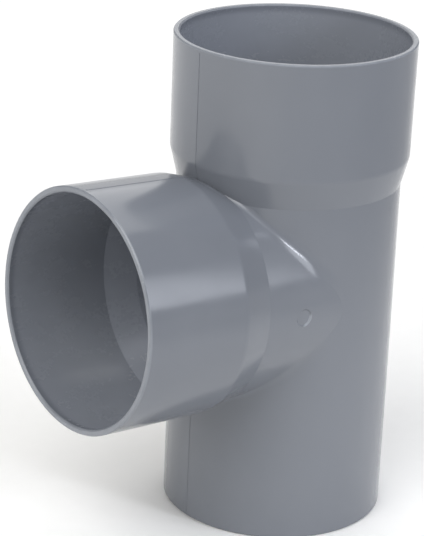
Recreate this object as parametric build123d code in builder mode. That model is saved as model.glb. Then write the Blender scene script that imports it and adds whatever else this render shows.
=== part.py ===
"""Pipe tee for glued drain pipe, one injection moulding in grey rigid PVC.

Units are millimetres. The run stands on its plain spigot end, and the middle
of that end is the origin. Plus Z is the run axis, up to the socket on top.
The branch points along plus X and rises a little towards its mouth.
"""

import os
from math import cos, radians, sin, tan

from build123d import *

# Pipe size that the tee joins
pipe_radius = 40.0
glue_clearance = 0.3

# Wall, the same all over
wall = 2.2

# Run, at full size along its spigot and a little narrower above it
run_radius = pipe_radius
run_length = 175.0
spigot_length = 44.0
run_draft = 0.4

# Branch, whose neck is a little slimmer than the run that it meets
branch_rise = 3.0
branch_height = 86.0
branch_reach = 91.5
neck_relief = 0.6

# Sockets, the same form on the run and on the branch
socket_bore = pipe_radius + glue_clearance
socket_radius = socket_bore + wall
socket_draft = 0.2
socket_depth = 41.2
socket_outside = 41.0
cone_angle = 14.0

# Edges
rim_chamfer = 0.4
lead_in = 0.5
cone_round = 6.0
spigot_chamfer = 0.6
mitre_fillet = 2.0
inner_round = 0.5

# Marks of the mould
parting_height = 0.1
parting_width = 0.5
parting_gap = 1.5
gate_mark_radius = 3.2
gate_mark_along = 23.5
gate_mark_depth = 0.5

# Distance by which cuts run past a mouth and the plain bodies stop short of it
clear = 5.0

# Amounts that follow from the sizes above
run_narrow = run_radius - run_draft
neck_radius = run_radius - neck_relief
shoulder_radius = socket_radius - socket_draft
cone_slope = tan(radians(cone_angle))
run_top = run_length - clear
neck_top = branch_reach - clear


# Each plane has its Y along the pipe axis, outwards, and its X across the pipe.
branch_axis = (cos(radians(branch_rise)), 0, sin(radians(branch_rise)))
branch_start = (0, 0, branch_height)
run_plane = Plane(origin=(0, 0, 0), x_dir=(-1, 0, 0), z_dir=(0, 1, 0))
branch_plane = Plane(
    origin=branch_start,
    x_dir=(-sin(radians(branch_rise)), 0, cos(radians(branch_rise))),
    z_dir=(0, 1, 0),
)
run_line = Axis.Z
branch_line = Axis(origin=branch_start, direction=branch_axis)


def cone_foot(start_of_cone, wide, narrow):
    """Distance along the axis at which the cone below a socket ends."""
    return start_of_cone - (wide - narrow) / cone_slope


def run_outline(start, outwards):
    """Radius and height of the points along the run's wall, moved outwards by an amount."""
    return [
        (run_radius + outwards, start),
        (run_radius + outwards, spigot_length),
        (run_narrow + outwards, run_top),
    ]


def neck_outline(outwards):
    """Radius and distance of the points along the neck's wall, moved outwards by an amount."""
    return [(neck_radius + outwards, 0), (neck_radius + outwards, neck_top)]


def half_section(plane, outline):
    """Face between an outline and the axis."""
    with BuildSketch(plane) as section:
        with BuildLine():
            Polyline((0, outline[0][1]), *outline, (0, outline[-1][1]), close=True)
        make_face()
    return section.sketch


def socket_section(plane, body_radius, end):
    """Half section of a socket's outside, with the cone that leads to the body."""
    cone_top = end - socket_outside
    with BuildSketch(plane) as section:
        with BuildLine():
            Polyline(
                (0, cone_foot(cone_top, shoulder_radius, body_radius)),
                (body_radius, cone_foot(cone_top, shoulder_radius, body_radius)),
                (shoulder_radius, cone_top),
                (socket_radius, end),
                (0, end),
                close=True,
            )
        make_face()
        fillet(section.vertices().sort_by_distance((shoulder_radius, cone_top))[0], cone_round)
        chamfer(section.vertices().sort_by_distance((socket_radius, end))[0], rim_chamfer)
    return section.sketch


def bore_section(plane, body_bore, end):
    """Half section of a socket's bore, with its stop cone and its lead-in."""
    stop = end - socket_depth
    outline = [
        (body_bore, cone_foot(stop, socket_bore, body_bore)),
        (socket_bore, stop),
        (socket_bore, end - lead_in),
        (socket_bore + lead_in, end),
        (socket_bore + lead_in, end + clear),
    ]
    return half_section(plane, outline)


def ridge_section(plane, body, body_radius, end):
    """Outlines of a body and its socket, both raised by the ridge's height and mirrored."""
    cone_top = end - socket_outside
    socket = [
        (body_radius + parting_height, cone_foot(cone_top, shoulder_radius, body_radius)),
        (shoulder_radius + parting_height, cone_top),
        (socket_radius + parting_height, end - parting_gap),
    ]
    with BuildSketch(plane) as section:
        for outline in (body, socket):
            with BuildLine():
                Polyline((0, outline[0][1]), *outline, (0, outline[-1][1]), close=True)
            make_face()
        mirror(about=Plane.YZ)
    return section.sketch


# Hollow of the whole tee, taken from it in one cut
with BuildPart() as waterway:
    revolve(half_section(run_plane, run_outline(-clear, -wall)), axis=run_line)
    revolve(half_section(branch_plane, neck_outline(-wall)), axis=branch_line)
    fillet(waterway.edges(Select.NEW), inner_round)
    revolve(bore_section(run_plane, run_narrow - wall, run_length), axis=run_line)
    revolve(bore_section(branch_plane, neck_radius - wall, branch_reach), axis=branch_line)

with BuildPart() as pipe_tee:
    # The plain bodies meet in the mitre, which is filleted before the sockets go on.
    revolve(half_section(run_plane, run_outline(0, 0)), axis=run_line)
    revolve(half_section(branch_plane, neck_outline(0)), axis=branch_line)
    fillet(pipe_tee.edges(Select.NEW), mitre_fillet)
    chamfer(pipe_tee.faces().sort_by(Axis.Z)[0].edges(), spigot_chamfer)
    revolve(socket_section(run_plane, run_narrow, run_length), axis=run_line)
    revolve(socket_section(branch_plane, neck_radius, branch_reach), axis=branch_line)

    # The mould closes on the plane through both axes and leaves a fine ridge there.
    run_ridge = ridge_section(run_plane, run_outline(parting_gap, parting_height), run_narrow, run_length)
    neck_ridge = ridge_section(branch_plane, neck_outline(parting_height), neck_radius, branch_reach)
    extrude(run_ridge, amount=parting_width / 2, both=True)
    extrude(neck_ridge, amount=parting_width / 2, both=True)

    # Round gate mark on the side of the neck, a flat dish whose wall slopes by 45 degrees
    with Locations(branch_plane.offset(neck_radius - gate_mark_depth)):
        with Locations((0, gate_mark_along)):
            Cone(
                bottom_radius=gate_mark_radius - gate_mark_depth,
                top_radius=gate_mark_radius - gate_mark_depth + clear,
                height=clear,
                align=(Align.CENTER, Align.CENTER, Align.MIN),
                mode=Mode.SUBTRACT,
            )

    add(waterway.part, mode=Mode.SUBTRACT)

pipe_tee.part.label = "pipe_tee"
os.makedirs("parts", exist_ok=True)
export_step(pipe_tee.part, "parts/pipe_tee.step")
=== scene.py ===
"""Looks of the grey PVC pipe tee: its plastic, a pale floor, soft studio light and the camera.

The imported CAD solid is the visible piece, and this script gives it its material.
"""

from math import cos, pi, radians, sin

import bpy
from mathutils import Matrix, Vector

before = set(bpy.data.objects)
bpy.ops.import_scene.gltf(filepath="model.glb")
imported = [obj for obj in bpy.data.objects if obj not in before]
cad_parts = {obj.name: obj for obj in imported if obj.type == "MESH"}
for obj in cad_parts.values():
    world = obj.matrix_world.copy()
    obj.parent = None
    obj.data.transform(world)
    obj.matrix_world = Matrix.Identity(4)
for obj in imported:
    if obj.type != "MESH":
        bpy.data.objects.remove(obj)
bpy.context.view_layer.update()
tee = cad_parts["pipe_tee"]

# Sizes of the solid that the material and the lights go by, in metres
RUN_LENGTH = 0.175
BRANCH_HEIGHT = 0.086
BRANCH_RISE = radians(3.0)
BRANCH_REACH = 0.0915
GATE_ALONG = 0.0235
GATE_RADIUS = 0.0032

# Answers of a band that falls where its value grows
FADE_OUT = (1.0, 0.0)

# A wall faces inwards where its normal, times the way out from the pipe's axis, is negative
INWARDS = (-0.020, -0.005)

# Distances behind a mouth between which the material of each zone starts
STOP_CONE = (0.0418, 0.0411)
MOUTH_SHADE_RING = (0.0036, 0.0012)
RIM = (0.0009, 0.0003)

# Strip along the outer mitre where the shading is eased, by the distance past the crease.
# It fades out before the cone of the branch, in the crotches, and at the points on the sides.
EASE_START, EASE_END = -0.0055, 0.0055
EASE_FADE = 0.0005
CONE_FADE = (0.0360, 0.0385)
CROTCH_FADE = (0.024, 0.034)
POINT_FADE = (0.006, 0.014)

# Part of the gate mark's edge that gets a painted highlight: its side of the neck, its radii,
# and how far towards the run and downwards from the mark's middle it lies
GATE_SIDE = (0.030, 0.034)
GATE_WALL_START = (GATE_RADIUS - 0.0008, GATE_RADIUS - 0.0005)
GATE_WALL_END = (GATE_RADIUS, GATE_RADIUS + 0.0003)
GATE_HIGHLIGHT_SPAN = (-0.0034, -0.0018)
GATE_DOWNWARDS = 0.8

# Linear colours of the plastic and of the paper, in pairs where a noise mixes two of them
SKIN = ((0.171, 0.183, 0.206, 1), (0.182, 0.194, 0.217, 1))
# Painted light: the lighter tone of the bores
LIGHTENED_BORE = ((0.230, 0.245, 0.278, 1), (0.244, 0.259, 0.291, 1))
# Painted light: the bores past the stop cones
LIT_DEEP_BORE = (0.272, 0.288, 0.324, 1)
# Painted shade: the ring just inside the mouths
PAINTED_SHADE_RING = (0.150, 0.161, 0.187, 1)
# Wear and a painted highlight: the lighter rims
SCUFF_AND_SHEEN = (0.228, 0.243, 0.270, 1)
# Painted highlight: the lit side of the gate mark's edge
PAINTED_GATE_HIGHLIGHT = (0.290, 0.305, 0.332, 1)
PAPER = ((0.92, 0.912, 0.89, 1), (0.95, 0.942, 0.92, 1))
SHADE_RING_STRENGTH = 0.8
SCUFF_AND_SHEEN_STRENGTH = (0.55, 1.0)

# Parts of each noise that are spread over its whole effect
CLOUD_SPAN = (0.3, 0.7)
PATCH_SPAN = (0.3, 0.65)
RUB_SPAN = (0.35, 0.72)
FINE_SPAN = (0.2, 0.8)

# Roughness of the skin, what is added to it, the relief in metres and the gloss
SKIN_ROUGHNESS = (0.15, 0.21)
FINE_ROUGHNESS = (-0.015, 0.015)
BORE_DULLER = 0.09
RIM_DULLER = 0.08
PEEL_SHARE, GRAIN_SHARE = 0.9, 0.10
RELIEF_STRENGTH, RELIEF_HEIGHT = 0.12, 0.00002
PLASTIC_IOR = 1.53
PAPER_ROUGHNESS = 0.75

# The paper is whole up to one radius and has faded out at the next
PAPER_FADE = (0.12, 0.48)
PAPER_SIDES = 96

# Strength of the surroundings: above the horizon, below it, and below it towards the shade
SKY, GROUND, SHADED_GROUND = 0.20, 1.05, 0.55
SHADE_AZIMUTH = 210.0
SHADE_SPAN = (-0.2, 0.5)
HORIZON = (-0.04, 0.06)

# Camera fitted to the outlines in the photograph, with its angles in degrees
CAMERA_AZIMUTH, CAMERA_ELEVATION, CAMERA_ROLL = 140.815, 20.666, 2.537
CAMERA_PLACE = (0.48987, 0.56059, 0.36747)
CAMERA_LENS, CAMERA_SENSOR = 148.43, 36.0
CAMERA_CLIP = (0.01, 50.0)

# Name, azimuth, elevation, distance, width, height, power and colour of each light
WHITE = (1, 1, 1)
COOL = (0.95, 0.985, 1.07)
LIGHTS = (
    ("mouth_key", 106.0, 48.0, 2.2, 1.7, 1.4, 29.5, WHITE),
    ("mouth_fill", 86.0, 14.0, 2.2, 1.4, 0.8, 9.0, WHITE),
    ("side_box", 204.2, 22.5, 1.1, 0.55, 0.49, 3.3, COOL),
    ("side_strip", 197.0, 25.0, 1.1, 0.115, 0.38, 2.2, COOL),
    ("high_fill", 185.0, 66.0, 2.2, 1.8, 1.4, 9.0, COOL),
    ("back_fill", 320.0, 46.0, 2.2, 2.6, 2.0, 24.0, WHITE),
    ("low_fill", 325.0, 14.0, 2.2, 1.4, 0.8, 2.5, WHITE),
)


class Nodes:
    """Short calls for building a node tree."""

    def __init__(self, tree):
        self.tree = tree
        tree.nodes.clear()

    def add(self, kind, **settings):
        node = self.tree.nodes.new(kind)
        for name, value in settings.items():
            setattr(node, name, value)
        return node

    def link(self, source, target):
        self.tree.links.new(source, target)

    def fill(self, socket, value):
        """Links an output to a socket, or sets a plain value on it."""
        if isinstance(value, bpy.types.NodeSocket):
            self.link(value, socket)
        else:
            socket.default_value = value

    def math(self, operation, a, b=0.0, c=0.0):
        node = self.add("ShaderNodeMath", operation=operation)
        for socket, value in zip(node.inputs, (a, b, c)):
            self.fill(socket, value)
        return node.outputs[0]

    def product(self, first, *others):
        for other in others:
            first = self.math("MULTIPLY", first, other)
        return first

    def noise(self, vector, scale, detail, roughness):
        node = self.add("ShaderNodeTexNoise")
        self.link(vector, node.inputs["Vector"])
        node.inputs["Scale"].default_value = scale
        node.inputs["Detail"].default_value = detail
        node.inputs["Roughness"].default_value = roughness
        return node.outputs["Fac"]

    def band(self, value, span, answers=(0.0, 1.0)):
        """Maps a value from one range to another by a smooth step, held at both ends."""
        node = self.add("ShaderNodeMapRange", interpolation_type="SMOOTHSTEP")
        names = ("From Min", "From Max", "To Min", "To Max")
        for name, number in zip(names, (*span, *answers)):
            node.inputs[name].default_value = number
        self.fill(node.inputs["Value"], value)
        return node.outputs["Result"]

    def mix(self, factor, a, b):
        """Mixes two colours."""
        node = self.add("ShaderNodeMix", data_type="RGBA")
        self.fill(node.inputs["Factor"], factor)
        sockets = [socket for socket in node.inputs if socket.type == "RGBA"]
        self.fill(sockets[0], a)
        self.fill(sockets[1], b)
        return [socket for socket in node.outputs if socket.type == "RGBA"][0]

    def parts(self, vector):
        """The X, Y and Z of a vector."""
        node = self.add("ShaderNodeSeparateXYZ")
        self.link(vector, node.inputs[0])
        return tuple(node.outputs)

    def combined(self, x, y, z):
        node = self.add("ShaderNodeCombineXYZ")
        for socket, value in zip(node.inputs, (x, y, z)):
            self.fill(socket, value)
        return node.outputs[0]

    def vector(self, operation, a, b=None, scale=None):
        """Vector maths. A length or a dot product is a number, and the rest are vectors."""
        node = self.add("ShaderNodeVectorMath", operation=operation)
        self.fill(node.inputs[0], a)
        if b is not None:
            self.fill(node.inputs[1], b)
        if scale is not None:
            self.fill(node.inputs["Scale"], scale)
        return node.outputs["Value" if operation in ("LENGTH", "DOT_PRODUCT") else "Vector"]

    def stretched(self, vector, scale):
        """The vector with each of its parts multiplied."""
        node = self.add("ShaderNodeMapping")
        self.link(vector, node.inputs["Vector"])
        node.inputs["Scale"].default_value = scale
        return node.outputs["Vector"]


def facing_inwards(n, place, normal):
    """One on the walls of the bores and nought on the outside.

    The branch is where x exceeds the height above or below its axis.
    """
    x, y, z = n.parts(place)
    normal_x, normal_y, normal_z = n.parts(normal)
    height = n.math("SUBTRACT", z, BRANCH_HEIGHT)
    across = n.math("MULTIPLY", y, normal_y)
    from_run = n.math("MULTIPLY_ADD", x, normal_x, across)
    from_branch = n.math("MULTIPLY_ADD", height, normal_z, across)
    is_branch = n.math("GREATER_THAN", x, n.math("ABSOLUTE", height))
    change = n.math("SUBTRACT", from_branch, from_run)
    outwards = n.math("MULTIPLY_ADD", is_branch, change, from_run)
    return n.band(outwards, INWARDS, FADE_OUT)


def near_mouths(n, place, distances):
    """One near both mouths, and nought from the first of the two distances behind them on."""
    x, _, z = n.parts(place)
    far, close = distances
    height = n.math("SUBTRACT", z, BRANCH_HEIGHT)
    level = n.math("MULTIPLY", x, cos(BRANCH_RISE))
    along = n.math("MULTIPLY_ADD", height, sin(BRANCH_RISE), level)
    on_run = n.band(z, (RUN_LENGTH - far, RUN_LENGTH - close))
    on_branch = n.band(along, (BRANCH_REACH - far, BRANCH_REACH - close))
    return n.math("MAXIMUM", on_run, on_branch)


def gate_highlight_edge(n, place):
    """One on the sloped edge of the gate mark, on its side towards the run and downwards,
    where the highlight is painted.
    """
    x, y, z = n.parts(place)
    ahead = n.math("SUBTRACT", x, GATE_ALONG * cos(BRANCH_RISE))
    above = n.math("SUBTRACT", z, BRANCH_HEIGHT + GATE_ALONG * sin(BRANCH_RISE))
    from_middle = n.vector("LENGTH", n.combined(ahead, 0.0, above))
    return n.product(
        n.band(y, GATE_SIDE),
        n.band(from_middle, GATE_WALL_START),
        n.band(from_middle, GATE_WALL_END, FADE_OUT),
        n.band(n.math("MULTIPLY_ADD", above, GATE_DOWNWARDS, ahead), GATE_HIGHLIGHT_SPAN, FADE_OUT),
    )


def soft_mitre(n, place, normal, inwards):
    """Normal of the surface, eased along the outer mitre so that it looks softer there."""
    x, y, z = n.parts(place)
    height = n.math("SUBTRACT", z, BRANCH_HEIGHT)
    tilted = n.math("MULTIPLY", x, sin(BRANCH_RISE))
    up = n.math("SUBTRACT", n.math("MULTIPLY", height, cos(BRANCH_RISE)), tilted)
    off_axis = n.math("ABSOLUTE", up)
    past = n.math("SUBTRACT", x, off_axis)

    # The eased normal turns from that of the run's wall to that of the neck's.
    run_normal = n.vector("NORMALIZE", n.combined(x, y, 0.0))
    neck_x = n.math("MULTIPLY", up, -sin(BRANCH_RISE))
    neck_z = n.math("MULTIPLY", up, cos(BRANCH_RISE))
    neck_normal = n.vector("NORMALIZE", n.combined(neck_x, y, neck_z))
    between = n.band(past, (EASE_START, EASE_END))
    turn = n.vector("SCALE", n.vector("SUBTRACT", neck_normal, run_normal), scale=between)
    eased = n.vector("ADD", run_normal, turn)

    near = n.product(
        n.math("SUBTRACT", 1.0, inwards),
        n.band(past, (EASE_START - EASE_FADE, EASE_START)),
        n.band(past, (EASE_END, EASE_END + EASE_FADE), FADE_OUT),
        n.band(x, CONE_FADE, FADE_OUT),
        n.band(off_axis, CROTCH_FADE, FADE_OUT),
        n.band(off_axis, POINT_FADE),
    )
    change = n.vector("SCALE", n.vector("SUBTRACT", eased, normal), scale=near)
    mixed = n.vector("NORMALIZE", n.vector("ADD", normal, change))
    in_world = n.add(
        "ShaderNodeVectorTransform",
        vector_type="NORMAL",
        convert_from="OBJECT",
        convert_to="WORLD",
    )
    n.link(mixed, in_world.inputs[0])
    return in_world.outputs[0]


def grey_pvc():
    """Injection moulded rigid PVC: satin skin, faint clouding, fine grain and light wear, with
    painted light and shade in the bores, on the rims and at the gate mark.
    """
    material = bpy.data.materials.new("grey_pvc_moulded")
    material.use_nodes = True
    n = Nodes(material.node_tree)
    coordinates = n.add("ShaderNodeTexCoord")
    place, normal = coordinates.outputs["Object"], coordinates.outputs["Normal"]
    inwards = facing_inwards(n, place, normal)

    # Colour: slow clouding of the pigment, on a lighter tone inside the bores that is painted
    # light
    cloud = n.noise(n.stretched(place, (1, 1, 0.45)), scale=26.0, detail=3.0, roughness=0.55)
    clouding = n.band(cloud, CLOUD_SPAN)
    colour = n.mix(inwards, n.mix(clouding, *SKIN), n.mix(clouding, *LIGHTENED_BORE))

    # Past the stop cones the bores are painted lighter than the socket walls in front of them,
    # as painted light.
    past_cone = n.math("SUBTRACT", 1.0, near_mouths(n, place, STOP_CONE))
    colour = n.mix(n.math("MULTIPLY", inwards, past_cone), colour, LIT_DEEP_BORE)

    # Just inside each mouth the bore has a darker ring of painted shade.
    shade_ring = n.math("MULTIPLY", inwards, near_mouths(n, place, MOUTH_SHADE_RING))
    colour = n.mix(n.math("MULTIPLY", shade_ring, SHADE_RING_STRENGTH), colour, PAINTED_SHADE_RING)

    # The rims are scuffed a little lighter and duller, unevenly round their edge; part of that
    # lighter colour is a painted highlight.
    patches = n.noise(place, scale=160.0, detail=4.0, roughness=0.6)
    patchy = n.band(patches, PATCH_SPAN, SCUFF_AND_SHEEN_STRENGTH)
    wear_and_sheen = n.math("MULTIPLY", near_mouths(n, place, RIM), patchy)
    colour = n.mix(wear_and_sheen, colour, SCUFF_AND_SHEEN)

    # A highlight is painted on one side of the gate mark's edge.
    colour = n.mix(gate_highlight_edge(n, place), colour, PAINTED_GATE_HIGHLIGHT)

    # Roughness: the skin has duller patches where it has been rubbed, and the bores are
    # duller than the outside.
    rub = n.noise(n.stretched(place, (1, 1, 2.2)), scale=55.0, detail=5.0, roughness=0.62)
    fine = n.noise(place, scale=900.0, detail=3.0, roughness=0.5)
    rough = n.band(rub, RUB_SPAN, SKIN_ROUGHNESS)
    rough = n.math("ADD", rough, n.band(fine, FINE_SPAN, FINE_ROUGHNESS))
    rough = n.math("MULTIPLY_ADD", inwards, BORE_DULLER, rough)
    rough = n.math("MULTIPLY_ADD", wear_and_sheen, RIM_DULLER, rough)

    # Relief: orange peel of the mould's surface and the fine grain on it
    peel = n.noise(place, scale=210.0, detail=2.0, roughness=0.45)
    grain = n.noise(place, scale=1700.0, detail=3.0, roughness=0.6)
    relief = n.math("MULTIPLY_ADD", grain, GRAIN_SHARE, n.math("MULTIPLY", peel, PEEL_SHARE))
    bump = n.add("ShaderNodeBump")
    bump.inputs["Strength"].default_value = RELIEF_STRENGTH
    bump.inputs["Distance"].default_value = RELIEF_HEIGHT
    n.link(relief, bump.inputs["Height"])
    n.link(soft_mitre(n, place, normal, inwards), bump.inputs["Normal"])

    shader = n.add("ShaderNodeBsdfPrincipled")
    n.link(colour, shader.inputs["Base Color"])
    n.link(rough, shader.inputs["Roughness"])
    n.link(bump.outputs["Normal"], shader.inputs["Normal"])
    shader.inputs["IOR"].default_value = PLASTIC_IOR
    out = n.add("ShaderNodeOutputMaterial")
    n.link(shader.outputs["BSDF"], out.inputs["Surface"])
    return material


def pale_floor():
    """Matt white studio paper that fades out into the surroundings."""
    material = bpy.data.materials.new("studio_paper")
    material.use_nodes = True
    n = Nodes(material.node_tree)
    place = n.add("ShaderNodeTexCoord").outputs["Object"]
    fibre = n.noise(place, scale=140.0, detail=4.0, roughness=0.6)
    shader = n.add("ShaderNodeBsdfPrincipled")
    n.link(n.mix(fibre, *PAPER), shader.inputs["Base Color"])
    shader.inputs["Roughness"].default_value = PAPER_ROUGHNESS
    distance = n.vector("LENGTH", place)
    n.link(n.band(distance, PAPER_FADE, FADE_OUT), shader.inputs["Alpha"])
    out = n.add("ShaderNodeOutputMaterial")
    n.link(shader.outputs["BSDF"], out.inputs["Surface"])
    return material


def make_floor():
    """A flat round sheet at the height of the foot."""
    radius = PAPER_FADE[1]
    angles = [2 * pi * side / PAPER_SIDES for side in range(PAPER_SIDES)]
    corners = [(radius * cos(angle), radius * sin(angle), 0) for angle in angles]
    mesh = bpy.data.meshes.new("studio_floor")
    mesh.from_pydata(corners, [], [tuple(range(PAPER_SIDES))])
    mesh.materials.append(pale_floor())
    floor = bpy.data.objects.new("studio_floor", mesh)
    bpy.context.scene.collection.objects.link(floor)


def direction(azimuth, elevation):
    """Unit vector from the object towards a point seen at these angles, in degrees."""
    a, e = radians(azimuth), radians(elevation)
    return Vector((sin(a) * cos(e), -cos(a) * cos(e), sin(e)))


def soft_box(name, azimuth, elevation, distance, width, height, power, colour):
    """Area light that looks at the middle of the object."""
    data = bpy.data.lights.new(name, "AREA")
    data.shape = "RECTANGLE"
    data.size, data.size_y = width, height
    data.energy = power
    data.color = colour
    light = bpy.data.objects.new(name, data)
    bpy.context.scene.collection.objects.link(light)
    towards = direction(azimuth, elevation)
    light.location = Vector((0, 0, BRANCH_HEIGHT)) + towards * distance
    light.rotation_mode = "QUATERNION"
    light.rotation_quaternion = towards.to_track_quat("Z", "Y")


def make_world():
    """Plain surroundings, dim above the horizon, and below it white and grey to one side."""
    world = bpy.data.worlds.new("studio_white")
    bpy.context.scene.world = world
    world.use_nodes = True
    n = Nodes(world.node_tree)
    ray = n.add("ShaderNodeTexCoord").outputs["Generated"]
    _, _, height = n.parts(ray)
    towards_shade = n.vector("DOT_PRODUCT", ray, direction(SHADE_AZIMUTH, 0.0))
    below = n.band(towards_shade, SHADE_SPAN, (GROUND, SHADED_GROUND))
    above = n.band(height, HORIZON)
    strength = n.math("MULTIPLY_ADD", above, n.math("SUBTRACT", SKY, below), below)
    background = n.add("ShaderNodeBackground")
    background.inputs["Color"].default_value = (1, 1, 1, 1)
    n.link(strength, background.inputs["Strength"])
    out = n.add("ShaderNodeOutputWorld")
    n.link(background.outputs[0], out.inputs["Surface"])


def make_camera():
    """Camera at the photograph's place, angle and field of view."""
    roll = radians(CAMERA_ROLL)
    back = direction(CAMERA_AZIMUTH, CAMERA_ELEVATION)
    right = (-back).cross(Vector((0, 0, 1))).normalized()
    up = right.cross(-back)
    rolled_right = right * cos(roll) + up * sin(roll)
    rolled_up = up * cos(roll) - right * sin(roll)
    data = bpy.data.cameras.new("photo_camera")
    data.sensor_width = CAMERA_SENSOR
    data.lens = CAMERA_LENS
    data.clip_start, data.clip_end = CAMERA_CLIP
    camera = bpy.data.objects.new("photo_camera", data)
    bpy.context.scene.collection.objects.link(camera)
    turn = Matrix((rolled_right, rolled_up, back)).transposed().to_4x4()
    camera.matrix_world = Matrix.Translation(CAMERA_PLACE) @ turn
    bpy.context.scene.camera = camera


make_camera()
make_world()
make_floor()
for light in LIGHTS:
    soft_box(*light)

tee.data.materials.clear()
tee.data.materials.append(grey_pvc())

bpy.context.scene.view_settings.view_transform = "Standard"
